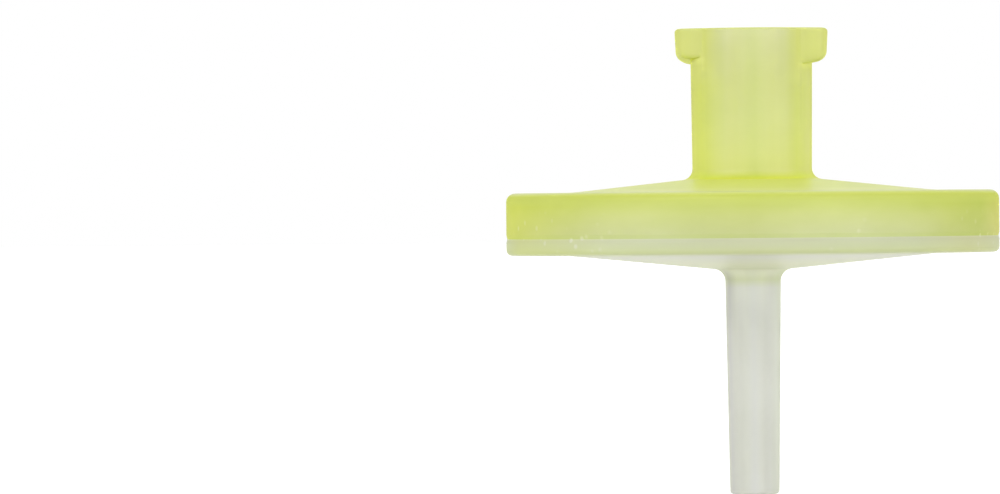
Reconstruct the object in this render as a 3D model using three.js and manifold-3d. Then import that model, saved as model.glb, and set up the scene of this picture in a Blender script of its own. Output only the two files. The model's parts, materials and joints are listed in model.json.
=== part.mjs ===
// A 25 mm syringe filter: an inlet housing with a female luer lock, an outlet housing with a
// plain tapered tube, and a membrane clamped between them. The two housings are moulded in
// polypropylene and welded together at the rim, tongue in groove.
//
// Millimetres, +Z up. The origin is the centre of the inlet's mouth, and the filter hangs below.
// A radius is measured from the Z axis, and a level is a height on it.

import * as THREE from 'three';
import { mergeVertices } from 'three/addons/utils/BufferGeometryUtils.js';
import Module from 'manifold-3d';

// ---- Driving dimensions ----

// Turned forms.
const facets = 64; // flats round a full turn
const arcStep = Math.PI / 6; // largest turn of one flat in a rounded corner
const slipClearance = 0.05; // radial gap between the housings where one slides in the other

// The disc that both housings share.
const discRadius = 12.5;
const upperRimRounding = 0.45;
const lowerRimRounding = 0.28;
const seamBevel = 0.12; // each housing's edge along the weld

// Inlet housing: the hub and its luer socket.
const hubHeight = 8.27; // from the mouth to the flat top of the rim
const hubWall = 0.955; // at the mouth
const hubDraft = THREE.MathUtils.degToRad(0.5);
const hubMouthRounding = 0.12;
const hubRootRounding = 0.55;
const socketMouthRadius = 2.145;
const socketTaper = 0.03; // the luer's 6 percent, taken on the radius
const socketChamfer = 0.1;
const shoulderWidth = 0.32; // from the socket's bottom to the narrow hole
const holeLength = 0.95; // of the narrow hole, below the socket

// Inlet housing: the two lugs of the luer lock.
const lugReach = 0.79; // beyond the hub's mouth
const lugHeight = 1.66;
const lugWidth = 3.3;
const lugLead = 2; // how far the undersides of the lugs would climb in a full turn
const lugUpperRounding = 0.15;
const lugLowerRounding = 0.45;

// Inlet housing: the top plate and the chamber under it.
const domeSlope = THREE.MathUtils.degToRad(6);
const domeInset = 3.2; // from the disc's edge to the foot of the dome
const domeBlend = 9; // radius of the soft bend at that foot
const plateThickness = 0.85; // under the dome's foot
const chamberStep = 0.2; // by which the plate is thicker near the clamp
const chamberStepWidth = 0.8;
const chamberDepth = 0.62; // over the membrane, at that step
const ridgeWidth = 0.3; // rings under the plate, which spread the liquid
const ridgeHeight = 0.2;

// Where the housings meet.
const skirtWall = 1.25; // outside the groove
const grooveWidth = 1.9;
const grooveRoof = 0.7; // plate left over the groove
const weldGap = 0.05; // left over the tongue when the weld has closed
const clampWidth = 0.8; // of the ring that presses on the membrane

// Membrane.
const membraneThickness = 0.15;
const membraneClearance = 0.2; // to the wall round it

// Outlet housing: the seat and the support grid under the membrane.
const seatHeight = 0.5; // above the weld
const seatWidth = 0.9;
const drainDepth = 0.35; // of the drain floor at the seat
const firstRingRadius = 2.82;
const ringPitch = 1.18;
const ribWidth = 0.45;
const channelCount = 8; // radial channels through the ribs
const channelWidth = 0.8;
const sumpRadius = 1.45;
const sumpDepth = 0.7;

// Outlet housing: the flange, the cone under it and the tube.
const flangeThickness = 0.84;
const coneSlope = THREE.MathUtils.degToRad(5.6);
const coneInset = 3.2; // from the disc's edge to the cone
const coneBlend = 6;
const outletReach = 12.19; // from the rim's underside to the tip
const outletBoreRadius = 0.72;
const outletWall = 0.53; // at the tip
const outletDraft = THREE.MathUtils.degToRad(0.785);
const outletTipRounding = 0.2;
const outletRootRounding = 0.6;

// ---- Levels, from the mouth down ----

const rimTop = -hubHeight;
const grooveTop = rimTop - grooveRoof;
const chamberTop = rimTop - plateThickness;
const membraneTop = chamberTop - chamberStep - chamberDepth;
const seatTop = membraneTop - membraneThickness;
const seam = seatTop - seatHeight;
const rimBottom = seam - flangeThickness;
const outletTip = rimBottom - outletReach;

// ---- Radii, from the disc's edge in ----

const grooveOuter = discRadius - skirtWall;
const grooveInner = grooveOuter - grooveWidth;
const tongueOuter = grooveOuter - slipClearance;
const tongueInner = grooveInner + slipClearance;
const clampInner = grooveInner - clampWidth;
const chamberStepRadius = clampInner - chamberStepWidth;
const membraneRadius = tongueInner - membraneClearance;
const seatInner = tongueInner - seatWidth;
const domeFoot = discRadius - domeInset;
const coneFoot = discRadius - coneInset;

// ---- Radii of the hub and the tube ----

const hubRadius = socketMouthRadius + hubWall;
const hubRootRadius = hubRadius - Math.tan(hubDraft) * hubHeight;
const lugRadius = hubRadius + lugReach;
const outletTipRadius = outletBoreRadius + outletWall;
const outletRootRadius = outletTipRadius + Math.tan(outletDraft) * outletReach;

// ---- Sloping surfaces: the level of each at a radius ----

function domeAt(radius) {
  return rimTop + (domeFoot - radius) * Math.tan(domeSlope);
}

function plateUndersideAt(radius) {
  return chamberTop + (chamberStepRadius - radius) * Math.tan(domeSlope);
}

function drainFloorAt(radius) {
  return seatTop - drainDepth - (seatInner - radius) * Math.tan(coneSlope);
}

function coneAt(radius) {
  return rimBottom - (coneFoot - radius) * Math.tan(coneSlope);
}

// ---- Turned sections ----

// One corner of a section, with the radius that rounds it, or none where it is sharp.
function corner(radius, level, rounding = 0) {
  return { point: new THREE.Vector2(radius, level), rounding };
}

// The points that stand for one corner: an arc tangent to both sides, or the corner itself.
function roundCorner(before, here, after) {
  if (!here.rounding) {
    return [here.point];
  }
  const back = before.point.clone().sub(here.point);
  const on = after.point.clone().sub(here.point);
  const room = Math.min(back.length(), on.length()) / 2;
  back.normalize();
  on.normalize();
  const halfAngle = Math.acos(back.dot(on)) / 2;
  const reach = Math.min(here.rounding / Math.tan(halfAngle), room);
  const start = here.point.clone().addScaledVector(back, reach);
  const toCentre = back.clone().add(on).normalize();
  const centre = here.point.clone().addScaledVector(toCentre, reach / Math.cos(halfAngle));
  const turn = (Math.PI - 2 * halfAngle) * Math.sign(on.cross(back));
  const steps = Math.ceil(Math.abs(turn) / arcStep) + 1;
  return Array.from({ length: steps + 1 }, (_, i) => {
    return start.clone().rotateAround(centre, (turn * i) / steps);
  });
}

// A closed section, its corners listed anticlockwise with the radius to the right.
function section(corners) {
  const last = corners.length - 1;
  const points = corners.flatMap((here, i) => {
    return roundCorner(corners[i ? i - 1 : last], here, corners[i < last ? i + 1 : 0]);
  });
  return [...points, points[0].clone()];
}

// The section turned about the Z axis.
function turned(corners) {
  const geometry = new THREE.LatheGeometry(section(corners), facets, Math.PI / 2);
  return geometry.rotateX(Math.PI / 2);
}

// ---- Solids ----

const wasm = await Module();
wasm.setup();

// A closed geometry as a solid that can be joined and cut.
function solid(geometry) {
  geometry.deleteAttribute('normal');
  geometry.deleteAttribute('uv');
  const merged = mergeVertices(geometry);
  const mesh = new wasm.Mesh({
    numProp: 3,
    vertProperties: merged.attributes.position.array,
    triVerts: Uint32Array.from(merged.index.array),
  });
  return new wasm.Manifold(mesh);
}

// A named sub-part made from a solid.
function subPart(name, shape, material) {
  const { vertProperties, triVerts } = shape.getMesh();
  const geometry = new THREE.BufferGeometry();
  geometry.setAttribute('position', new THREE.BufferAttribute(vertProperties, 3));
  geometry.setIndex(new THREE.BufferAttribute(triVerts, 1));
  geometry.computeVertexNormals();
  const mesh = new THREE.Mesh(geometry, material);
  mesh.name = name;
  return mesh;
}

// The radii of the concentric rings that fit inside a limit, all on one pitch.
function ringRadii(width, limit) {
  const radii = [];
  for (let r = firstRingRadius; r + 1.5 * width < limit; r += ringPitch) {
    radii.push(r);
  }
  return radii;
}

// ---- Inlet housing ----

// The underside of the top plate, from the hole out to the step, with its ridges.
function ridgedUnderside() {
  return ringRadii(ridgeWidth, chamberStepRadius).flatMap((radius) => {
    const inner = radius - ridgeWidth / 2;
    const outer = radius + ridgeWidth / 2;
    const crest = plateUndersideAt(radius) - ridgeHeight;
    return [
      corner(inner, plateUndersideAt(inner)),
      corner(inner, crest),
      corner(outer, crest),
      corner(outer, plateUndersideAt(outer)),
    ];
  });
}

// The hub, the plate, the skirt and the clamp ring, as one turned body.
function inletBody() {
  const socketEntry = socketMouthRadius - socketTaper * socketChamfer;
  const levelHolding = plateUndersideAt(0) + holeLength;
  const socketBottomRadius = socketMouthRadius + socketTaper * levelHolding;
  const holeRadius = socketBottomRadius - shoulderWidth;
  const socketBottom = plateUndersideAt(holeRadius) + holeLength;
  return turned([
    corner(grooveOuter, seam),
    corner(discRadius - seamBevel, seam),
    corner(discRadius, seam + seamBevel),
    corner(discRadius, rimTop, upperRimRounding),
    corner(domeFoot, rimTop, domeBlend),
    corner(hubRootRadius, domeAt(hubRootRadius), hubRootRounding),
    corner(hubRadius, 0, hubMouthRounding),
    corner(socketEntry + socketChamfer, 0),
    corner(socketEntry, -socketChamfer),
    corner(socketBottomRadius, socketBottom),
    corner(holeRadius, socketBottom),
    corner(holeRadius, plateUndersideAt(holeRadius)),
    ...ridgedUnderside(),
    corner(chamberStepRadius, chamberTop),
    corner(chamberStepRadius, chamberTop - chamberStep),
    corner(clampInner, chamberTop - chamberStep),
    corner(clampInner, membraneTop),
    corner(grooveInner, membraneTop),
    corner(grooveInner, grooveTop),
    corner(grooveOuter, grooveTop),
  ]);
}

// Gives a ring round the mouth an underside that climbs with the thread, to either side of the X
// axis. The ring's top stays flat.
function followThread(ring) {
  const position = ring.attributes.position;
  for (let i = 0; i < position.count; i += 1) {
    const turn = Math.atan(position.getY(i) / position.getX(i));
    const depth = -position.getZ(i) / lugHeight;
    position.setZ(i, position.getZ(i) + (depth * lugLead * turn) / (2 * Math.PI));
  }
  return ring;
}

// Two opposite lugs with parallel sides, on the X axis.
function lugs() {
  const root = socketMouthRadius + hubWall / 2;
  const ring = turned([
    corner(root, -lugHeight),
    corner(lugRadius, -lugHeight, lugLowerRounding),
    corner(lugRadius, 0, lugUpperRounding),
    corner(root, 0),
  ]);
  const slab = new THREE.BoxGeometry(4 * lugRadius, lugWidth, 4 * lugHeight);
  return solid(followThread(ring)).intersect(solid(slab));
}

function inletHousing() {
  return solid(inletBody()).add(lugs());
}

// ---- Membrane ----

function membrane() {
  const disc = new THREE.CylinderGeometry(membraneRadius, membraneRadius, membraneThickness, facets);
  disc.rotateX(Math.PI / 2);
  disc.translate(0, 0, seatTop + membraneThickness / 2);
  return solid(disc);
}

// ---- Outlet housing ----

// The flange with its tongue, the cone and the tube, as one turned body.
function outletBody() {
  return turned([
    corner(outletBoreRadius, outletTip),
    corner(outletTipRadius, outletTip, outletTipRounding),
    corner(outletRootRadius, coneAt(outletRootRadius), outletRootRounding),
    corner(coneFoot, rimBottom, coneBlend),
    corner(discRadius, rimBottom, lowerRimRounding),
    corner(discRadius, seam - seamBevel),
    corner(discRadius - seamBevel, seam),
    corner(tongueOuter, seam),
    corner(tongueOuter, grooveTop - weldGap),
    corner(tongueInner, grooveTop - weldGap),
    corner(tongueInner, seatTop),
    corner(seatInner, seatTop),
    corner(seatInner, drainFloorAt(seatInner)),
    corner(sumpRadius, drainFloorAt(sumpRadius)),
    corner(outletBoreRadius, drainFloorAt(sumpRadius) - sumpDepth),
  ]);
}

// One ring-shaped rib, from inside the drain floor up to the membrane.
function rib(radius) {
  const root = drainFloorAt(radius - ribWidth) - ribWidth / 2;
  return solid(
    turned([
      corner(radius - ribWidth / 2, root),
      corner(radius + ribWidth / 2, root),
      corner(radius + ribWidth / 2, seatTop),
      corner(radius - ribWidth / 2, seatTop),
    ]),
  );
}

// One bar across the whole grid, which cuts two opposite channels.
function channelPair(index) {
  const bar = new THREE.BoxGeometry(2 * seatInner, channelWidth, 2 * seatInner);
  bar.rotateZ((index * 2 * Math.PI) / channelCount);
  bar.translate(0, 0, seatTop);
  return solid(bar);
}

// The ribs that carry the membrane, cut by the channels that lead to the outlet.
function supportGrid() {
  let grid = wasm.Manifold.union(ringRadii(ribWidth, seatInner).map(rib));
  for (let i = 0; i < channelCount / 2; i += 1) {
    grid = grid.subtract(channelPair(i));
  }
  return grid;
}

function outletHousing() {
  return solid(outletBody()).add(supportGrid());
}

// ---- The filter ----

const yellowPolypropylene = new THREE.MeshStandardMaterial({
  color: '#d8e271',
  roughness: 0.35,
  metalness: 0,
  transparent: true,
  opacity: 0.85,
});

const naturalPolypropylene = new THREE.MeshStandardMaterial({
  color: '#d8dacb',
  roughness: 0.35,
  metalness: 0,
  transparent: true,
  opacity: 0.75,
});

const whiteMembrane = new THREE.MeshStandardMaterial({
  color: '#f4f4f0',
  roughness: 0.9,
  metalness: 0,
});

const group = new THREE.Group();
group.add(subPart('inlet_housing', inletHousing(), yellowPolypropylene));
group.add(subPart('membrane', membrane(), whiteMembrane));
group.add(subPart('outlet_housing', outletHousing(), naturalPolypropylene));

export default group;
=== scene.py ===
# %% [markdown]
# # A syringe filter, dressed for the studio
#
# A syringe filter is a flat plastic disc with a membrane inside. A syringe locks onto the hub on
# top, and what is filtered leaves through the slim tube below. Two mouldings make the disc: a
# yellow one with the hub and a natural, milky one with the tube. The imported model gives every
# place and size, so it is loaded first, and nothing in it is moved.

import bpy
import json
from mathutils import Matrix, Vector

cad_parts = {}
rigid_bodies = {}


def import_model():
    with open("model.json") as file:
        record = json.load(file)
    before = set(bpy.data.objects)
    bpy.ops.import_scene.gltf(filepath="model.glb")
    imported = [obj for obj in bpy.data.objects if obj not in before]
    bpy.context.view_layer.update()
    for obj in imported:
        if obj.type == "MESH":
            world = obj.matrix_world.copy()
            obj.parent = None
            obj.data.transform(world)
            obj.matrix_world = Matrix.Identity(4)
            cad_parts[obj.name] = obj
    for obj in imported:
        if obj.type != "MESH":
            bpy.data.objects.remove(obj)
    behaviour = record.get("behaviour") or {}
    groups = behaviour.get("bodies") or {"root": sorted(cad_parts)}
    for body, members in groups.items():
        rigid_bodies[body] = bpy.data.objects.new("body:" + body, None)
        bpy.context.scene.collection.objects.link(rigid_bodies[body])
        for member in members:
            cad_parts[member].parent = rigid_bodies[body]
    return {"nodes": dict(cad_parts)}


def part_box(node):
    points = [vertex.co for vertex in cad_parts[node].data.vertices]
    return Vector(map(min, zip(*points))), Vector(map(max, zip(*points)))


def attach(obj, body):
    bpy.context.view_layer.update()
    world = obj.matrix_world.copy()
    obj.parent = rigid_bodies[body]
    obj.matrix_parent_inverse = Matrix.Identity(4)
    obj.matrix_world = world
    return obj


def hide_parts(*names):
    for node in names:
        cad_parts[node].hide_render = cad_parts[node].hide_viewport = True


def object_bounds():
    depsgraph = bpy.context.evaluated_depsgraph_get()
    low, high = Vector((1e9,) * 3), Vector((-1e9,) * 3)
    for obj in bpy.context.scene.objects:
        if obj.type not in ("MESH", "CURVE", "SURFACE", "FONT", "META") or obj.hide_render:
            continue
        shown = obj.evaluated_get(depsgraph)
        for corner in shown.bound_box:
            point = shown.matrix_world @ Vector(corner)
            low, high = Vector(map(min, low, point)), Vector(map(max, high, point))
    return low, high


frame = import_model()
cad_low, cad_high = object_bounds()
print("nodes:", sorted(frame["nodes"]))

# %% Tools and units
import json
import math

import bmesh
import bpy
from mathutils import Matrix, Vector

MM = 0.001  # the model is in metres, and the shapes below are drawn in millimetres

# %% [markdown]
# The frame gives the levels and radii that the mouldings share: where the mouth, the weld, the
# membrane and the tip of the tube lie. Taking them from there keeps the fine surfaces on the
# plain solids that they stand for.

# %% Levels and radii from the frame
inlet_low, inlet_high = [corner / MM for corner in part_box("inlet_housing")]
outlet_low, outlet_high = [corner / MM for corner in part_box("outlet_housing")]
film_low, film_high = [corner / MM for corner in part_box("membrane")]
disc_radius = inlet_high.x
mouth = inlet_high.z
seam = inlet_low.z
tube_tip = outlet_low.z
tongue_top = outlet_high.z
seat = film_low.z
film_top = film_high.z
print(f"disc {2 * disc_radius:.2f} mm wide, weld {mouth - seam:.2f} mm below the mouth")

# %% [markdown]
# The rest are sizes of the mouldings themselves, in millimetres: walls, slopes and the small
# radii that a mould leaves on every edge. First come those that the two mouldings share. The tongue
# of one is fused into the groove of the other, so they overlap a little there, and outside the weld
# shows as a shallow notch round the rim.

# %% Sizes that both mouldings share
rim_top = mouth - 8.27
rim_bottom = seam - 0.84
groove_outer = disc_radius - 1.25
groove_inner = groove_outer - 1.9
melt = 0.02
notch_depth = 0.05
notch_floor = disc_radius - notch_depth
notch_height = 0.2
notch_edge = 0.08
first_ring = 2.82
ring_pitch = 1.18
ring_radii = [first_ring + ring_pitch * i for i in range(5)]
fine_edge = 0.05
soft_edge = 0.1
print(f"rim {rim_top - rim_bottom:.2f} mm high, rings at {[round(r, 2) for r in ring_radii]} mm")

# %% Sizes of the inlet moulding
dome_foot = disc_radius - 3.2
dome_slope = math.radians(6)
hub_radius = 3.1
hub_root_radius = 3.028
socket_radius = 2.145
socket_bottom_radius = 1.92
socket_floor = mouth - 7.5
hole_radius = 1.6
hole_sink = 0.02  # the floor of the socket falls this much towards the hole
plate_wall = 0.85
clamp_inner = groove_inner - 0.8
step_radius = clamp_inner - 0.8
step_height = 0.2


def dome(radius):
    return rim_top + (dome_foot - radius) * math.tan(dome_slope)


def plate_underside(radius):
    return rim_top - plate_wall + (step_radius - radius) * math.tan(dome_slope)


print(f"dome {dome(hub_radius) - rim_top:.2f} mm high, plate {plate_wall:.2f} mm thick")

# %% Sizes of the outlet moulding
cone_foot = disc_radius - 2.8
cone_slope = math.radians(5.6)
tube_radius = 1.25
tube_root_radius = 1.417
bore_radius = 0.72
seat_inner = groove_inner - 0.85
drain_depth = 0.35
sump_radius = 1.45
sump_depth = 0.7


def drain_floor(radius):
    return seat - drain_depth - (seat_inner - radius) * math.tan(cone_slope)


def cone(radius):
    return rim_bottom - (cone_foot - radius) * math.tan(cone_slope)


print(f"tube {cone(tube_root_radius) - tube_tip:.2f} mm long")

# %% [markdown]
# ## Turned mouldings
#
# Both mouldings are round about one axis, so each starts as half a section that is spun. The
# section is one flat face with a vertex at each corner. A vertex bevel rounds a corner: it cuts
# the two sides back by the same length, which is the radius over the tangent of half the angle.

# %% A rounded section
def corner_segments(angle):
    """3 for a corner that is nearly straight, and up to 7 for a sharp one."""
    return 3 + round(4 * (1 - angle / math.pi))


def rounded_section(corners):
    """A flat face in the plane of X and Z. A corner is a radius, a level and a rounding."""
    section = bmesh.new()
    spots = [Vector((radius, 0, level)) for radius, level, _ in corners]
    verts = [section.verts.new(spot) for spot in spots]
    section.faces.new(verts)
    for i, (_, _, rounding) in enumerate(corners):
        if not rounding:
            continue
        back = spots[i - 1] - spots[i]
        onward = spots[(i + 1) % len(spots)] - spots[i]
        angle = back.angle(onward)
        bmesh.ops.bevel(
            section,
            geom=[verts[i]],
            offset=rounding / math.tan(angle / 2),
            offset_type="OFFSET",
            segments=corner_segments(angle),
            profile=0.5,
            affect="VERTICES",
            material=-1,
        )
    return section


# %% A section spun about the axis
around = 256  # steps in a full turn


def spin(section):
    bmesh.ops.delete(section, geom=list(section.faces), context="FACES_ONLY")
    bmesh.ops.spin(
        section,
        geom=list(section.edges),
        axis=(0, 0, 1),
        cent=(0, 0, 0),
        angle=2 * math.pi,
        steps=around,
        use_merge=True,
    )
    bmesh.ops.recalc_face_normals(section, faces=list(section.faces))
    return section


# %% [markdown]
# A finished piece is scaled to metres and shaded smooth, and its sharp edges are kept. A modifier
# that weighs the normals by the faces' area keeps the flat faces flat next to the roundings.

# %% A finished piece
sharp_from = math.radians(35)


def finish_piece(name, body):
    mesh = bpy.data.meshes.new(name)
    body.to_mesh(mesh)
    body.free()
    mesh.transform(Matrix.Scale(MM, 4))
    mesh.shade_smooth()
    mesh.set_sharp_from_angle(angle=sharp_from)
    piece = bpy.data.objects.new(name, mesh)
    bpy.context.scene.collection.objects.link(piece)
    flats = piece.modifiers.new("flats_stay_flat", "WEIGHTED_NORMAL")
    flats.keep_sharp = True
    print(f"{name}: {len(mesh.polygons)} faces")
    return piece


# %% [markdown]
# ## Inlet moulding
#
# The section runs from the foot of the skirt up round the rim, over the dome and up the hub, then
# down the luer socket and back along the underside of the plate, with the low rings that spread
# the liquid over the membrane.

# %% Low rings under the plate
ring_height = 0.2
ring_foot = 0.15  # half the width of a ring where it starts
ring_crest = 0.12  # and at its crest


def underside_rings():
    points = []
    for radius in ring_radii[:4]:
        crest = plate_underside(radius) - ring_height
        points.append((radius - ring_foot, plate_underside(radius - ring_foot), 0))
        points.append((radius - ring_crest, crest, fine_edge))
        points.append((radius + ring_crest, crest, fine_edge))
        points.append((radius + ring_foot, plate_underside(radius + ring_foot), 0))
    return points


# %% Section of the inlet moulding
step_top = plate_underside(step_radius)
inlet_corners = [
    (groove_outer, seam, 0),
    (notch_floor, seam, 0),
    (disc_radius, seam + notch_height, notch_edge),
    (disc_radius, rim_top, 0.45),
    (dome_foot, rim_top, 9),
    (hub_root_radius, dome(hub_root_radius), 0.55),
    (hub_radius, mouth, 0.12),
    (socket_radius, mouth, soft_edge),
    (socket_bottom_radius, socket_floor, soft_edge),
    (hole_radius, socket_floor - hole_sink, 0.08),
    (hole_radius, plate_underside(hole_radius), 0.15),
    *underside_rings(),
    (step_radius, step_top, 0),
    (step_radius, step_top - step_height, fine_edge),
    (clamp_inner, step_top - step_height, soft_edge),
    (clamp_inner, film_top, fine_edge),
    (groove_inner, film_top, fine_edge),
    (groove_inner, tongue_top - melt, soft_edge),
    (groove_outer, tongue_top - melt, soft_edge),
]
inlet = spin(rounded_section(inlet_corners))
print("inlet section corners:", len(inlet_corners))

# %% [markdown]
# ## Lugs of the luer lock
#
# Two lugs stand out of the hub, flush with its mouth. One lug is a block: a rounded section
# extruded along Y and sliced by bisect planes. Then every point moves: it sinks towards the hub
# near the block's sides, along a soft S, and is bent round the axis, so that it lies at the radius
# it was drawn at. The underside climbs along a right-hand thread. A Boolean union joins both lugs
# to the hub, because a translucent wall may hold no inner faces.

# %% Sizes of one lug
lug_radius = 3.89
lug_height = 1.66
lug_width = 4.1
lug_lead = 2  # the climb of its underside in a full turn
lug_flank = 0.9  # how far the soft flank at each of its sides reaches
lug_draft = 0.08  # how much its outer face leans in towards the foot
lug_root = hub_radius - 0.6  # it starts inside the hub's wall
lug_foot = mouth - lug_height
print(f"lugs {2 * lug_radius:.2f} mm over both")

# %% A Boolean between two shapes
def combine(body, tool, operation):
    scene_objects = bpy.context.scene.collection.objects
    pair = []
    for shape in (body, tool):
        mesh = bpy.data.meshes.new("shape")
        shape.to_mesh(mesh)
        shape.free()
        pair.append(bpy.data.objects.new("shape", mesh))
        scene_objects.link(pair[-1])
    boolean = pair[0].modifiers.new("combine", "BOOLEAN")
    boolean.object = pair[1]
    boolean.operation = operation
    boolean.solver = "EXACT"
    result = bmesh.new()
    result.from_object(pair[0], bpy.context.evaluated_depsgraph_get())
    for shape in pair:
        mesh = shape.data
        bpy.data.objects.remove(shape)
        bpy.data.meshes.remove(mesh)
    return result


def open_edges(body):
    return sum(not edge.is_manifold for edge in body.edges)


# %% One lug, then its twin
def everything(body):
    return [*body.verts, *body.edges, *body.faces]


lug_corners = [
    (lug_root, mouth, 0),
    (lug_root, lug_foot, 0),
    (lug_radius - lug_draft, lug_foot, 0.48),
    (lug_radius, mouth, 0.2),
]
lugs = rounded_section(lug_corners)
bmesh.ops.translate(lugs, vec=(0, -lug_width / 2, 0), verts=lugs.verts)
far_side = bmesh.ops.extrude_face_region(lugs, geom=list(lugs.faces))["geom"]
far_verts = [item for item in far_side if isinstance(item, bmesh.types.BMVert)]
bmesh.ops.translate(lugs, vec=(0, lug_width, 0), verts=far_verts)
bmesh.ops.recalc_face_normals(lugs, faces=list(lugs.faces))
slices = 33
for i in range(1, slices):
    cut_at = lug_width * (i / slices - 0.5)
    bmesh.ops.bisect_plane(
        lugs, geom=everything(lugs), plane_co=(0, cut_at, 0), plane_no=(0, 1, 0)
    )
print("points on one lug:", len(lugs.verts))

# %% Soften its flanks, bend it and tilt its underside
flank_sink = lug_radius - hub_radius + 0.1  # the flanks end just under the hub's skin
for vert in lugs.verts:
    share = min(1, (lug_width / 2 - abs(vert.co.y)) / lug_flank)
    height = (1 - math.cos(math.pi * share)) / 2
    outward = (vert.co.x - lug_root) / (lug_radius - lug_root)
    vert.co.x -= (1 - height) * flank_sink * outward
    vert.co.x = math.sqrt(vert.co.x**2 - vert.co.y**2)
    turn = math.atan2(vert.co.y, vert.co.x) / (2 * math.pi)
    vert.co.z += lug_lead * turn * (mouth - vert.co.z) / lug_height
twin = bmesh.ops.duplicate(lugs, geom=everything(lugs))["geom"]
bmesh.ops.rotate(
    lugs,
    cent=(0, 0, 0),
    matrix=Matrix.Rotation(math.pi, 3, "Z"),
    verts=[item for item in twin if isinstance(item, bmesh.types.BMVert)],
)
print("open edges in the lugs:", open_edges(lugs))

# %% Join the lugs to the hub
inlet = combine(inlet, lugs, "UNION")
print("open edges in the inlet moulding:", open_edges(inlet))
inlet_shell = finish_piece("inlet_shell", inlet)
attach(inlet_shell, "root")
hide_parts("inlet_housing")

# %% [markdown]
# ## Outlet moulding
#
# The section starts at the tip of the tube and runs up the tube, out under the shallow cone to
# the flange, over the welding tongue and back along the seat to the bore.

# %% Section of the outlet moulding
outlet_corners = [
    (bore_radius, tube_tip, fine_edge),
    (tube_radius, tube_tip, 0.2),
    (tube_root_radius, cone(tube_root_radius), 0.6),
    (cone_foot, rim_bottom, 6),
    (disc_radius, rim_bottom, 0.28),
    (disc_radius, seam - notch_height, notch_edge),
    (notch_floor, seam, 0),
    (notch_floor, seam + melt, 0),
    (groove_outer + melt, seam + melt, 0),
    (groove_outer + melt, tongue_top, soft_edge),
    (groove_inner - melt, tongue_top, soft_edge),
    (groove_inner - melt, seat, fine_edge),
    (seat_inner, seat, fine_edge),
    (seat_inner, drain_floor(seat_inner), soft_edge),
    (sump_radius, drain_floor(sump_radius), 0.2),
    (bore_radius, drain_floor(sump_radius) - sump_depth, 0.2),
]
outlet = spin(rounded_section(outlet_corners))
print("outlet section corners:", len(outlet_corners))

# %% [markdown]
# Five rings hold the membrane up from below, and eight channels cut through them lead the liquid
# to the bore. The rings are spun as loops of their own, the channels are bars turned round the
# axis, and two Booleans put them together.

# %% Support rings
support_foot = 0.225  # half the width of a ring at its foot
support_top = 0.2  # and where the membrane lies on it
support_sink = 0.1  # the feet stand in the floor


def ring_sections():
    rings = bmesh.new()
    for radius in ring_radii:
        foot = drain_floor(radius) - support_sink
        corners = [(radius - support_foot, foot), (radius + support_foot, foot)]
        corners += [(radius + support_top, seat), (radius - support_top, seat)]
        rings.faces.new([rings.verts.new((x, 0, z)) for x, z in corners])
    return rings


# %% Radial channels
channels = 8
channel_middle = 5.1
channel_size = (7, 0.8, 3)


def channel_bars():
    bars = bmesh.new()
    for i in range(channels):
        turn = Matrix.Rotation(i * 2 * math.pi / channels, 4, "Z")
        spot = turn @ Matrix.Translation((channel_middle, 0, seat))
        bmesh.ops.create_cube(bars, size=1, matrix=spot @ Matrix.Diagonal((*channel_size, 1)))
    return bars


rings = combine(spin(ring_sections()), channel_bars(), "DIFFERENCE")
print("open edges in the rings:", open_edges(rings))
outlet = combine(outlet, rings, "UNION")
print("open edges in the outlet moulding:", open_edges(outlet))
outlet_shell = finish_piece("outlet_shell", outlet)
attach(outlet_shell, "root")
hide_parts("outlet_housing")

# %% [markdown]
# ## Milky plastics
#
# Polypropylene is milky: it scatters light at its skin and lets some of it through, and colour
# deepens with the path inside. So each plastic has a pale skin colour, lets a share of the light
# through as rough transmission, and its volume absorbs blue from the light that passes. Small
# helpers keep the node trees short.

# %% Helpers: a node, a noise and a sum
def node(tree, kind, **settings):
    made = tree.nodes.new(kind)
    for name, value in settings.items():
        setattr(made, name, value)
    return made


def noise(tree, vector, scale, detail=3):
    made = node(tree, "ShaderNodeTexNoise")
    made.inputs["Scale"].default_value = scale
    made.inputs["Detail"].default_value = detail
    tree.links.new(vector, made.inputs["Vector"])
    return made.outputs["Fac"]


def maths(tree, operation, first, second):
    made = node(tree, "ShaderNodeMath", operation=operation)
    for socket, value in zip(made.inputs, (first, second)):
        if isinstance(value, (int, float)):
            socket.default_value = value
        else:
            tree.links.new(value, socket)
    return made.outputs["Value"]


# %% Helpers: a range and a blend
def spread(tree, value, low, high, to_low, to_high):
    made = node(tree, "ShaderNodeMapRange")
    ends = (("From Min", low), ("From Max", high), ("To Min", to_low), ("To Max", to_high))
    for name, end in ends:
        made.inputs[name].default_value = end
    tree.links.new(value, made.inputs["Value"])
    return made.outputs["Result"]


def blend(tree, kind, amount, first, second):
    made = node(tree, "ShaderNodeMix", data_type="RGBA", blend_type=kind)
    for socket, value in zip(("Factor", "A", "B"), (amount, first, second)):
        if isinstance(value, (int, float)):
            made.inputs[socket].default_value = value
        elif isinstance(value, tuple):
            made.inputs[socket].default_value = (*value, 1)
        else:
            tree.links.new(value, made.inputs[socket])
    return made.outputs["Result"]


# %% Helper: a bump
def bumpy(tree, shader, height, strength, depth):
    """Turns a height into a normal. The depth is in millimetres."""
    made = node(tree, "ShaderNodeBump")
    made.inputs["Strength"].default_value = strength
    made.inputs["Distance"].default_value = depth * MM
    tree.links.new(height, made.inputs["Height"])
    tree.links.new(made.outputs["Normal"], shader.inputs["Normal"])


# %% [markdown]
# Everything on a mould's surface follows the axis, so a finish asks where a point lies: at which
# level, at which radius and at which angle about the axis. Object coordinates give the point, and
# they stay with the piece from every side.

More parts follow.
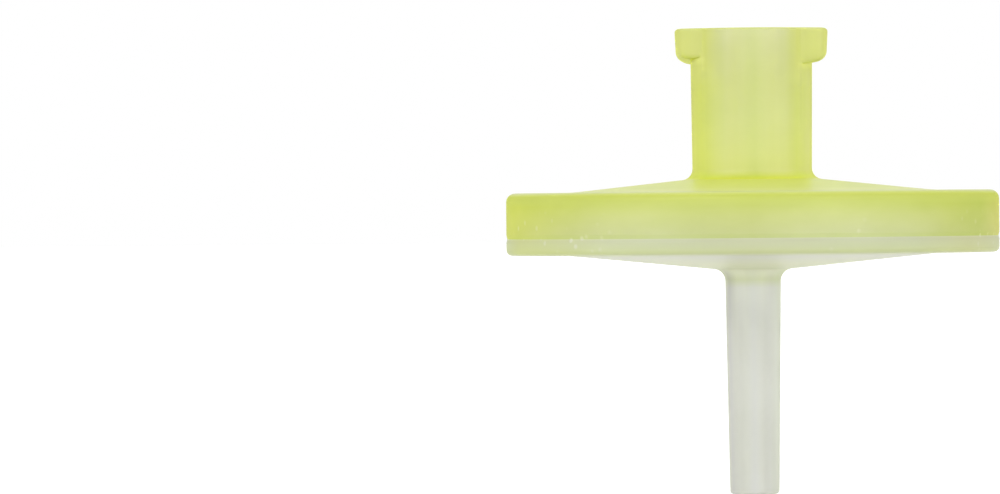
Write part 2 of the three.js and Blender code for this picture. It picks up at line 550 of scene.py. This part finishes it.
# %% Where a point lies on the moulding
def spot_on(tree):
    point = node(tree, "ShaderNodeTexCoord").outputs["Object"]
    parts = node(tree, "ShaderNodeSeparateXYZ")
    tree.links.new(point, parts.inputs["Vector"])
    x, y, level = parts.outputs["X"], parts.outputs["Y"], parts.outputs["Z"]
    squares = maths(tree, "ADD", maths(tree, "MULTIPLY", x, x), maths(tree, "MULTIPLY", y, y))
    radius = maths(tree, "SQRT", squares, 0)
    angle = maths(tree, "ARCTAN2", y, x)
    return {"point": point, "level": level, "radius": radius, "angle": angle, "across": y}


def past(tree, value, start, full):
    """0 before the start, 1 from full on, both in millimetres."""
    return spread(tree, value, start * MM, full * MM, 0, 1)


def both(tree, first, second):
    return maths(tree, "MULTIPLY", first, second)


# %% [markdown]
# The look of each moulding changes with the thickness of the wall behind the skin: a hub with an
# open bore is paler and clearer than the solid rim. So each finish is a list of bands, and a
# colour ramp blends one band into the next. A band holds a place and a value. The place is a
# level, a radius, or an angle about the axis, for the swirls, the streaks and the painted light
# and shade round the rim, the hub and the tube. Such shades multiply the colour below them, so plain
# white changes nothing.

# %% Bands of colour
PLAIN = (1.0, 1.0, 1.0)
# A shade over white, for painted light that lifts a colour above its own.
PAINTED_LIFT = (1.06, 1.06, 1.06)
DEGREE = math.radians(1)


def bands(tree, place, stops, unit=MM):
    """A ramp through the stops. The unit is that of their places."""
    low, high = stops[0][0], stops[-1][0]
    ramp = node(tree, "ShaderNodeValToRGB")
    spots = ramp.color_ramp.elements
    for _ in stops[2:]:
        spots.new(0.5)
    for spot, (at, value) in zip(spots, stops):
        spot.position = (at - low) / (high - low)
        spot.color = (*value, 1) if isinstance(value, tuple) else (value, value, value, 1)
    scaled = spread(tree, place, low * unit, high * unit, 0, 1)
    tree.links.new(scaled, ramp.inputs["Fac"])
    return ramp.outputs["Color"]


# %% The yellow moulding, from the weld up to the mouth
yellow_side = [
    # The stop at the weld makes up for the shade in the notch: painted light.
    (seam, (0.79, 0.87, 0.50)),
    (seam + 0.3, (0.82, 0.86, 0.57)),
    (seam + 1.1, (0.84, 0.89, 0.47)),
    (rim_top - 0.7, (0.82, 0.89, 0.33)),
    (rim_top - 0.2, (0.79, 0.87, 0.21)),
    (mouth - 8.0, (1.0, 1.0, 0.02)),
    (mouth - 7.5, (0.94, 1.0, 0.25)),
    (mouth - 7.2, (0.99, 1.0, 0.53)),
    (mouth - 4.2, (0.97, 0.98, 0.75)),
    (mouth - 0.1, (0.97, 0.96, 1.0)),
    (mouth, (0.80, 0.87, 0.23)),
]
print("bands up the yellow side:", len(yellow_side))

# %% The yellow top, from the hub out to the rim
# Over the weld the plate is paler, because the natural plastic shows through.
yellow_plate = [
    (hub_radius, (0.83, 0.88, 0.21)),
    (5.5, (0.82, 0.87, 0.22)),
    (groove_inner - 0.4, (0.79, 0.85, 0.27)),
    (groove_inner, (0.76, 0.81, 0.37)),
    (groove_inner + 1.0, (0.75, 0.80, 0.46)),
    (groove_outer - 0.3, (0.75, 0.79, 0.48)),
    (groove_outer + 0.1, (0.75, 0.80, 0.37)),
    # At the outer edge the colour deepens: partly its own colour, partly painted shade that damps
    # the light its rounding catches from above.
    (disc_radius - 0.5, (0.74, 0.80, 0.30)),
    (disc_radius, (0.68, 0.75, 0.19)),
]
print("bands across the top:", len(yellow_plate))

# %% Painted light and swirls in the yellow rim, by angle
# Fitted by angle, these shades paint the light from the left and the shade at the front and to the
# right, along with the swirls that the melt leaves.
yellow_rim_light_and_swirl = [
    (-180, (1.0, 1.0, 0.80)),
    (-165, (1.0, 1.0, 0.53)),
    (-130, (0.98, 0.98, 0.92)),
    (-112, PLAIN),
    (-90, (0.89, 0.90, 0.74)),
    (-74, PLAIN),
    (-54, PLAIN),
    (-38, (0.91, 0.93, 0.71)),
    (-24, (0.84, 0.88, 0.62)),
    (-8, (1.0, 0.90, 1.0)),
    (12, (1.0, 1.0, 0.95)),
    (50, PLAIN),
    (85, (0.97, 0.97, 0.84)),
    (120, PLAIN),
    (180, (1.0, 1.0, 0.80)),
]

# %% Painted light and streaks down the hub, by angle
# Painted light and shade: the front is darker against the light that falls there, and the pale
# streaks beside it are painted highlights. The back repeats the front, half a turn on.
hub_front_light_and_streaks = [
    (-180, (1.0, 1.0, 0.90)),
    (-160, (0.98, 1.0, 0.58)),
    (-145, (0.96, 1.0, 0.56)),
    (-117, (0.99, 1.0, 0.98)),
    (-110, PLAIN),
    (-87, (0.90, 0.93, 0.79)),
    (-67, PLAIN),
    (-57, PLAIN),
    (-42, (0.97, 1.0, 0.73)),
    (-20, PLAIN),
    (0, (1.0, 1.0, 0.90)),
]
hub_light_and_streaks = hub_front_light_and_streaks + [(angle + 180, colour) for angle, colour in hub_front_light_and_streaks[1:]]
print("streaks round the hub:", len(hub_light_and_streaks))

# %% The natural moulding, from the tip of the tube up to the weld
natural_side = [
    (tube_tip, (0.88, 0.88, 0.87)),
    (tube_tip + 5, (0.94, 0.94, 0.94)),
    (tube_tip + 8, (0.94, 0.94, 0.94)),
    (cone(tube_root_radius) - 0.9, (0.87, 0.88, 0.84)),
    # The yellow tint at the root of the tube is a painted reflection of the yellow disc above it.
    (cone(tube_root_radius) - 0.5, (0.79, 0.83, 0.59)),
    (cone(tube_root_radius) + 0.3, (0.96, 0.96, 0.80)),
    (rim_bottom - 0.1, (0.90, 0.89, 0.88)),
    (rim_bottom + 0.1, (0.74, 0.80, 0.41)),
    (rim_bottom + 0.4, (0.74, 0.79, 0.49)),
    (seam - 0.1, (0.74, 0.77, 0.53)),
    # The stop at the weld makes up for the shade in the notch: painted light.
    (seam, (0.80, 0.83, 0.58)),
]
print("bands up the natural side:", len(natural_side))

# %% Painted light and swirls in the natural flange, by angle
# Lighter and yellower to the left, where the light falls, and darker at the front and the right end:
# painted light and shade, along with the swirls of the melt.
natural_rim_light_and_swirl = [
    (-180, (1.0, 1.0, 0.85)),
    (-160, (1.06, 1.06, 0.66)),
    (-125, PAINTED_LIFT),
    (-110, PLAIN),
    (-90, (0.95, 0.94, 0.94)),
    (-70, PLAIN),
    (-50, PLAIN),
    (-30, (1.04, 1.0, 0.86)),
    (0, (0.96, 0.93, 0.85)),
    (40, PLAIN),
    (90, (0.97, 0.96, 0.92)),
    (140, PLAIN),
    (180, (1.0, 1.0, 0.85)),
]

# %% Painted light and streaks down the tube, by angle
# Painted light: most of the front is lifted above its colour where the cone shades the tube, beside
# a darker streak to the left.
tube_front_light_and_streaks = [
    (-180, (1.0, 1.0, 0.95)),
    (-150, (0.84, 0.82, 0.90)),
    (-126, PAINTED_LIFT),
    (-107, PAINTED_LIFT),
    (-90, (1.02, 1.02, 1.06)),
    (-71, PAINTED_LIFT),
    (-53, (1.03, 1.02, 1.06)),
    (-30, (1.01, 1.03, 0.99)),
    (0, (1.0, 1.0, 0.95)),
]
tube_light_and_streaks = tube_front_light_and_streaks + [(angle + 180, colour) for angle, colour in tube_front_light_and_streaks[1:]]
print("streaks round the tube:", len(tube_light_and_streaks))

# %% [markdown]
# Clearness and satin have bands of their own. The tube and the hub let more through than the solid
# rim, and are smoother. The plate, the lugs and the wall of the socket each have one value, and the
# plate goes without the coat that the rest of the yellow moulding has.

# %% Clearness and satin of the yellow moulding
yellow_clear = [
    (rim_top, 0.35),
    (mouth - 8, 0.3),
    (mouth - 6.5, 0.35),
    (mouth - 3, 0.65),
    (mouth - 0.1, 0.65),
    (mouth, 0.2),
]
yellow_satin = [(rim_top - 0.1, 0.44), (rim_top + 0.1, 0.32), (mouth, 0.32)]
plate_clear = 0.18
plate_satin = 0.4
plate_coat = 0
ring_shade = (0.95, 0.97, 0.85)
socket_clear = 0.65
lug_clear = 0.3
lug_colour = (0.80, 0.82, 0.37)
# Painted light: the underside of each lug is paler than the lug, to lift the shade that falls under
# it.
lug_under_painted_light = (0.94, 0.95, 0.48)

# %% Clearness and satin of the natural moulding
tube_root = cone(tube_root_radius)
natural_clear = [
    (tube_root - 3, 0.65),
    (tube_root - 1, 0.25),
    (rim_bottom - 0.1, 0.25),
    (rim_bottom + 0.1, 0.3),
]
natural_satin = [
    (tube_root - 0.6, 0.28),
    (tube_root, 0.5),
    (rim_bottom - 0.1, 0.5),
    (rim_bottom + 0.1, 0.4),
]
print(f"the tube lets {natural_clear[0][1]:.0%} through, and the rim {natural_clear[-1][1]:.0%}")

# %% [markdown]
# Some zones have a look of their own. The rim stands between the cone and the plate, and the plate
# is the top outside the hub. The socket's wall lies inside the hub, and the lugs stand out of it
# near its mouth. Each zone is 1 inside, and fades to 0 over a tenth of a millimetre or so.

# %% Zones
def rim_zone(tree, spot):
    foot = past(tree, spot["level"], rim_bottom - 0.1, rim_bottom + 0.1)
    return both(tree, foot, past(tree, spot["level"], rim_top - 0.3, rim_top - 0.7))


def plate_zone(tree, spot):
    outside = past(tree, spot["radius"], hub_radius + 0.15, hub_radius + 0.45)
    above = past(tree, spot["level"], rim_top - 0.2, rim_top - 0.05)
    below = past(tree, spot["level"], mouth - 4, mouth - 5)
    return both(tree, outside, both(tree, above, below))


def socket_zone(tree, spot):
    return past(tree, spot["radius"], socket_radius + 0.15, socket_radius + 0.05)


# %% Zones of the lugs
def beside(tree, spot, start, full):
    """Like past, for the distance to the plane through the middles of both lugs."""
    return past(tree, maths(tree, "ABSOLUTE", spot["across"], 0), start, full)


def lug_zone(tree, spot):
    outside = past(tree, spot["radius"], hub_radius - 0.6, hub_radius - 0.4)
    flank = beside(tree, spot, lug_width / 2 + 0.8, lug_width / 2)
    above = past(tree, spot["level"], mouth - 3.2, mouth - 1.9)
    skin = both(tree, above, past(tree, spot["level"], mouth - 0.02, mouth - 0.1))
    return both(tree, outside, both(tree, flank, skin))


def painted_light_under_lug(tree, spot):
    """1 along the slope on which the lug rides, where painted light lifts the shade. The sine makes
    both lugs climb alike.
    """
    turns = maths(tree, "SINE", maths(tree, "MULTIPLY", spot["angle"], 2), 0)
    climb = maths(tree, "MULTIPLY", turns, lug_lead * MM / (4 * math.pi))
    level = maths(tree, "SUBTRACT", spot["level"], climb)
    upper = past(tree, level, lug_foot + 0.12, lug_foot - 0.02)
    lower = past(tree, level, lug_foot - 0.35, lug_foot - 0.1)
    flank = beside(tree, spot, lug_width / 2 + 0.1, lug_width / 2 - 0.5)
    return both(tree, both(tree, upper, lower), flank)


# %% [markdown]
# The low rings under the plate show through it as faint circles. Near the weld lies a scatter of
# pale specks: small dots, kept only in the patches of a coarser noise. Clouds and streaks are
# noises stretched along the axis, the way the melt was drawn.

# %% A noise stretched along the axis
def stretched(tree, point, along):
    made = node(tree, "ShaderNodeMapping")
    made.inputs["Scale"].default_value = (1, 1, along)
    tree.links.new(point, made.inputs["Vector"])
    return made.outputs["Vector"]


def drifts(tree, spot, along, scale, detail, low, high):
    """A noise whose values from low to high are spread from 0 to 1."""
    vector = stretched(tree, spot["point"], along)
    return spread(tree, noise(tree, vector, scale, detail), low, high, 0, 1)


# %% Rings that show through the plate
def rings_below(tree, spot):
    """1 over each of the low rings on the underside of the plate."""
    turns = spread(tree, spot["radius"], ring_radii[0] * MM, ring_radii[1] * MM, 0, 2 * math.pi)
    wave = maths(tree, "COSINE", turns, 0)
    near = past(tree, spot["radius"], ring_radii[4] + 0.3, ring_radii[4] + 0.1)
    return both(tree, spread(tree, wave, 0.55, 1, 0, 1), near)


# %% Specks near the weld
speck_scale = 1800
patch_scale = 220
specks_below = 0.6  # fainter in the natural moulding
speck_colour = (1.0, 1.0, 0.9)


def weld_specks(tree, spot):
    cells = node(tree, "ShaderNodeTexVoronoi")
    cells.inputs["Scale"].default_value = speck_scale
    tree.links.new(spot["point"], cells.inputs["Vector"])
    dots = spread(tree, cells.outputs["Distance"], 0.30, 0.12, 0, 1)
    patches = spread(tree, noise(tree, spot["point"], patch_scale, 2), 0.52, 0.62, 0, 1)
    above = past(tree, spot["level"], seam + 1.5, seam + 0.3)
    below = spread(tree, spot["level"], (seam - 0.9) * MM, (seam - 0.2) * MM, 0, specks_below)
    return both(tree, both(tree, dots, patches), both(tree, above, below))


# %% [markdown]
# The colour is put together in layers, as a painter would: first the bands, then the zones, then
# the clouds. A layer multiplies the colour by a shade that is close to white, so that it only
# moves the colour a little.

# %% The layers of colour
def clouded(tree, colour, amount, cloud, cloudy):
    shade = blend(tree, "MIX", cloud, cloudy, PLAIN)
    return blend(tree, "MULTIPLY", amount, colour, shade)


# %% The bands, with painted light and swirls in the rim and painted light and streaks on the stem
def banded_colour(tree, spot, finish):
    colour = bands(tree, spot["level"], finish["side"])
    rim_light_and_swirl = bands(tree, spot["angle"], finish["rim_light_and_swirl"], unit=DEGREE)
    colour = blend(tree, "MULTIPLY", rim_zone(tree, spot), colour, rim_light_and_swirl)
    stem_light_and_streaks = bands(tree, spot["angle"], finish["stem_light_and_streaks"], unit=DEGREE)
    stem = past(tree, spot["radius"], finish["stem"] + 0.6, finish["stem"] + 0.1)
    return blend(tree, "MULTIPLY", stem, colour, stem_light_and_streaks)


# %% Clouds everywhere, a mottle in the rim, and fine lines near the axis
def cloudy_colour(tree, spot, colour, cloudy, drawn):
    cloud = drifts(tree, spot, along=1.6, scale=300, detail=5, low=0.35, high=0.65)
    colour = clouded(tree, colour, 1.0, cloud, cloudy)
    mottle = drifts(tree, spot, along=3, scale=260, detail=3, low=0.4, high=0.6)
    colour = clouded(tree, colour, rim_zone(tree, spot), mottle, cloudy)
    flow = drifts(tree, spot, along=0.03, scale=1400, detail=3, low=0.4, high=0.6)
    inner = spread(tree, spot["radius"], 4 * MM, 5 * MM, 0.5, 0)
    return clouded(tree, colour, inner, flow, drawn)


# %% [markdown]
# The plate and the lugs are painted over the bands, and are less clear than the hub. Where a zone is
# 1, the blend takes the zone's own value. The coat fades out on the plate.

# %% The plate and the lugs
def dress_top(tree, spot, shader, colour, clearness, roughness):
    on_lug, on_plate = lug_zone(tree, spot), plate_zone(tree, spot)
    plate = bands(tree, spot["radius"], yellow_plate)
    line = blend(tree, "MULTIPLY", 1.0, plate, ring_shade)
    plate = blend(tree, "MIX", rings_below(tree, spot), plate, line)
    # Painted light lifts the shade under each lug.
    lug = blend(tree, "MIX", painted_light_under_lug(tree, spot), lug_colour, lug_under_painted_light)
    colour = blend(tree, "MIX", on_lug, colour, lug)
    colour = blend(tree, "MIX", on_plate, colour, plate)
    clearness = blend(tree, "MIX", on_lug, clearness, (lug_clear,) * 3)
    clearness = blend(tree, "MIX", socket_zone(tree, spot), clearness, (socket_clear,) * 3)
    clearness = blend(tree, "MIX", on_plate, clearness, (plate_clear,) * 3)
    roughness = blend(tree, "MIX", on_plate, roughness, (plate_satin,) * 3)
    coat = spread(tree, on_plate, 0, 1, 1, plate_coat)
    tree.links.new(coat, shader.inputs["Coat Weight"])
    return colour, clearness, roughness


# %% [markdown]
# A fine grain and slow waves in the normal are the texture of the mould. The volume takes blue out
# of the light on its way through, so thick places turn deeper.

# %% Grain of the mould and depth of colour
def mould_grain(tree, spot, shader, specks):
    grain = maths(tree, "MULTIPLY", noise(tree, spot["point"], scale=2500), 0.4)
    waves = maths(tree, "ADD", noise(tree, spot["point"], scale=260, detail=2), grain)
    bumpy(tree, shader, maths(tree, "ADD", waves, specks), strength=0.4, depth=0.04)


def depth_of_colour(tree, tint, density):
    """What a metre of the plastic absorbs is the density times what the tint lacks to white."""
    inside = node(tree, "ShaderNodeVolumeAbsorption")
    inside.inputs["Color"].default_value = (*tint, 1)
    inside.inputs["Density"].default_value = density
    tree.links.new(inside.outputs["Volume"], tree.nodes["Material Output"].inputs["Volume"])


# %% [markdown]
# The tinted coat is the colour in the skin: thin head-on, it deepens towards an edge, as on
# the real plastic. It has almost no gloss of its own.

# %% A milky plastic
plastic_ior = 1.49
coat_ior = 1.02
coat_roughness = 0.35


def milky_plastic(name, finish, dress=None):
    material = bpy.data.materials.new(name)
    material.use_nodes = True
    tree = material.node_tree
    shader = tree.nodes["Principled BSDF"]
    shader.inputs["IOR"].default_value = plastic_ior
    shader.inputs["Coat Weight"].default_value = 1
    shader.inputs["Coat Tint"].default_value = (*finish["skin"], 1)
    shader.inputs["Coat IOR"].default_value = coat_ior
    shader.inputs["Coat Roughness"].default_value = coat_roughness
    spot = spot_on(tree)
    colour = banded_colour(tree, spot, finish)
    clearness = bands(tree, spot["level"], finish["clear"])
    roughness = bands(tree, spot["level"], finish["satin"])
    if dress:
        colour, clearness, roughness = dress(tree, spot, shader, colour, clearness, roughness)
    colour = cloudy_colour(tree, spot, colour, finish["cloudy"], finish["drawn"])
    specks = weld_specks(tree, spot)
    colour = blend(tree, "MIX", specks, colour, speck_colour)
    tree.links.new(colour, shader.inputs["Base Color"])
    tree.links.new(clearness, shader.inputs["Transmission Weight"])
    tree.links.new(roughness, shader.inputs["Roughness"])
    mould_grain(tree, spot, shader, specks)
    depth_of_colour(tree, *finish["depth"])
    print(f"{name}: {len(tree.nodes)} nodes")
    return material


# %% Two plastics
yellow_finish = {
    "side": yellow_side,
    "rim_light_and_swirl": yellow_rim_light_and_swirl,
    "clear": yellow_clear,
    "satin": yellow_satin,
    "skin": (0.985, 0.99, 0.80),
    "depth": ((0.985, 1.0, 0.4), 500),
    "cloudy": (0.96, 0.97, 0.90),
    "drawn": (0.95, 0.96, 0.86),
    "stem_light_and_streaks": hub_light_and_streaks,
    "stem": hub_radius,
}
natural_finish = {
    "side": natural_side,
    "rim_light_and_swirl": natural_rim_light_and_swirl,
    "clear": natural_clear,
    "satin": natural_satin,
    "skin": (0.975, 0.98, 0.95),
    "depth": ((0.98, 1.0, 0.9), 100),
    "cloudy": (0.975, 0.975, 0.965),
    "drawn": (0.95, 0.955, 0.92),
    "stem_light_and_streaks": tube_light_and_streaks,
    "stem": tube_root_radius,
}

# %% Dress the mouldings
yellow = milky_plastic("yellow_polypropylene", yellow_finish, dress=dress_top)
natural = milky_plastic("natural_polypropylene", natural_finish)
inlet_shell.data.materials.append(yellow)
outlet_shell.data.materials.append(natural)

# %% [markdown]
# ## Membrane
#
# The membrane is a white felt of very fine pores, and quite matt. It stays the plain disc of the
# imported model, and a fine noise makes the pores in colour, roughness and normal.

# %% White felt
film = bpy.data.objects["membrane"]
felt = bpy.data.materials.new("white_membrane")
felt.use_nodes = True
tree = felt.node_tree
shader = tree.nodes["Principled BSDF"]
point = node(tree, "ShaderNodeTexCoord").outputs["Object"]
pores = spread(tree, noise(tree, point, scale=12000, detail=4), 0.35, 0.65, 0, 1)
pore_colour = blend(tree, "MIX", pores, (0.90, 0.90, 0.88), (0.97, 0.97, 0.955))
tree.links.new(pore_colour, shader.inputs["Base Color"])
tree.links.new(spread(tree, pores, 0, 1, 0.9, 0.75), shader.inputs["Roughness"])
bumpy(tree, shader, pores, strength=0.5, depth=0.01)
for slot in film.material_slots:
    slot.material = felt
print("felt on", film.name)

# %% [markdown]
# ## Studio
#
# The filter hangs from a syringe, so the floor lies well below the tube. It is a wide sheet of
# white paper. Clear plastic would show a shaded floor as grey streaks, so the sheet glows a little
# for rays that look at it straight, in a gloss or through the plastic. The light that falls on the
# filter from below comes only from the paper's own brightness.

# %% Floor
floor_drop = 0.06
sheet_reach = 20
floor_mesh = bpy.data.meshes.new("studio_floor")
floor_shape = bmesh.new()
bmesh.ops.create_grid(
    floor_shape,
    x_segments=1,
    y_segments=1,
    size=sheet_reach,
    matrix=Matrix.Translation((0, 0, cad_low[2] - floor_drop)),
)
floor_shape.to_mesh(floor_mesh)
floor_shape.free()
studio_floor = bpy.data.objects.new("studio_floor", floor_mesh)
bpy.context.scene.collection.objects.link(studio_floor)
print(f"floor {floor_drop / MM:.0f} mm below the tube")


# %% White paper
def seen_white(tree):
    """1 for the rays that should see plain white, 0 for the rays that only carry light."""
    path = node(tree, "ShaderNodeLightPath")
    either = path.outputs["Is Camera Ray"]
    for name in ("Is Glossy Ray", "Is Transmission Ray"):
        either = maths(tree, "MAXIMUM", either, path.outputs[name])
    return either


paper_white = 0.9
paper_glow = 0.35
paper = bpy.data.materials.new("white_paper")
paper.use_nodes = True
tree = paper.node_tree
shader = tree.nodes["Principled BSDF"]
shader.inputs["Base Color"].default_value = (paper_white, paper_white, paper_white, 1)
shader.inputs["Roughness"].default_value = 0.9
shader.inputs["Emission Color"].default_value = (1, 1, 1, 1)
glow = maths(tree, "MULTIPLY", seen_white(tree), paper_glow)
tree.links.new(glow, shader.inputs["Emission Strength"])
floor_mesh.materials.append(paper)
print(f"paper that glows {paper_glow:.2f} where it is seen")

# %% [markdown]
# White surroundings light milky plastic best: the light comes from all sides, and the edges
# stay soft. They are a little weaker as a light than they look.

# %% World
sky_light = 0.95
world = bpy.data.worlds.new("studio")
bpy.context.scene.world = world
world.use_nodes = True
tree = world.node_tree
sky = tree.nodes["Background"]
sky.inputs["Color"].default_value = (1, 1, 1, 1)
strength = spread(tree, seen_white(tree), 0, 1, sky_light, 1)
tree.links.new(strength, sky.inputs["Strength"])
print(f"sky of strength {sky_light:.2f}")

# %% [markdown]
# Three weak lamps give the light some direction. The key lamp is up on the left, the fill lamp on
# the right, and a low one in front lifts the shade under the lugs and the disc. All of them are
# squares turned towards the middle of the filter.

# %% Lamps
middle = Vector((0, 0, -0.012))
lamp_size = 0.3


def soft_lamp(name, spot, watts):
    lamp = bpy.data.lights.new(name, "AREA")
    lamp.size = lamp_size
    lamp.energy = watts
    holder = bpy.data.objects.new(name, lamp)
    bpy.context.scene.collection.objects.link(holder)
    holder.location = spot
    aim = middle - holder.location
    holder.rotation_euler = aim.to_track_quat("-Z", "Y").to_euler()


soft_lamp("key_lamp", (-0.3, -0.3, 0.25), 0.35)
soft_lamp("fill_lamp", (0.35, -0.25, 0.15), 0.2)
soft_lamp("low_lamp", (0.05, -0.42, -0.06), 0.3)
print("lamps:", [lamp.name for lamp in bpy.data.lights])

# %% [markdown]
# A look straight at the side shows every level of the filter at its true height. The camera
# stands half a metre off, and the lens is long enough for the picture to be 50.75 mm wide there,
# so the nearer parts look hardly larger than the rest. A slight yaw puts the filter in the right
# half of the picture, and a slight roll lets it hang half a degree off the upright.

# %% Camera
camera = bpy.data.objects.new("camera", bpy.data.cameras.new("camera"))
bpy.context.scene.collection.objects.link(camera)
bpy.context.scene.camera = camera
distance = 0.5
eye_level = -0.009
view_width = 0.05075
film_width = 36
camera.data.sensor_width = film_width
camera.data.lens = film_width * distance / view_width
camera.data.clip_end = 100
camera.location = (0, -distance, eye_level)
yaw = math.radians(1.47)
pitch = math.radians(-0.2266)
roll = math.radians(0.5)
camera.matrix_world = (
    Matrix.Translation(camera.location)
    @ Matrix.Rotation(yaw, 4, "Z")
    @ Matrix.Rotation(math.pi / 2 + pitch, 4, "X")
    @ Matrix.Rotation(-roll, 4, "Z")
)
bpy.context.scene.view_settings.view_transform = "Standard"
print(f"lens {camera.data.lens:.0f} mm")
